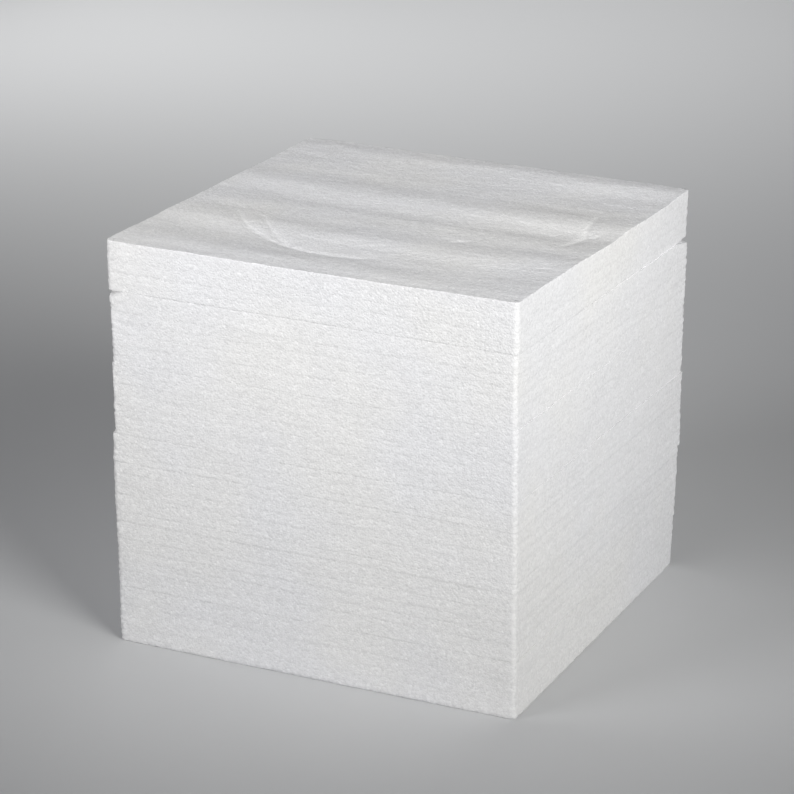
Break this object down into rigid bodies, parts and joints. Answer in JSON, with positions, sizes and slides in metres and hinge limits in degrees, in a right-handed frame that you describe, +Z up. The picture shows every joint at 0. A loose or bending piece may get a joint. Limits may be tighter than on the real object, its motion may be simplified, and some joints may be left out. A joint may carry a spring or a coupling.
{
  "type": "foam block",
  "caption": "Near-cubic block of white laminated polyethylene packing foam, bonded planks with a loose slab resting on top.",
  "frame": {"origin": "centre of the block's bounding box, on the floor plane under it", "axes": "+Z up through the stack of planks, -Y towards the broad front side, +X towards the right side"},
  "size_m": [0.316, 0.3128, 0.3],
  "materials": {
    "block_foam": "white closed-cell polyethylene foam, matte with fine glints from the cell walls",
    "slab_foam": "white closed-cell polyethylene foam with a smoother, faintly rippled moulded skin on its top"
  },
  "bodies": {
    "root": {"base_plank": "block_foam", "lower_plank": "block_foam", "middle_plank": "block_foam", "second_plank": "block_foam", "upper_plank": "block_foam", "top_slab": "slab_foam"}
  },
  "joints": []
}
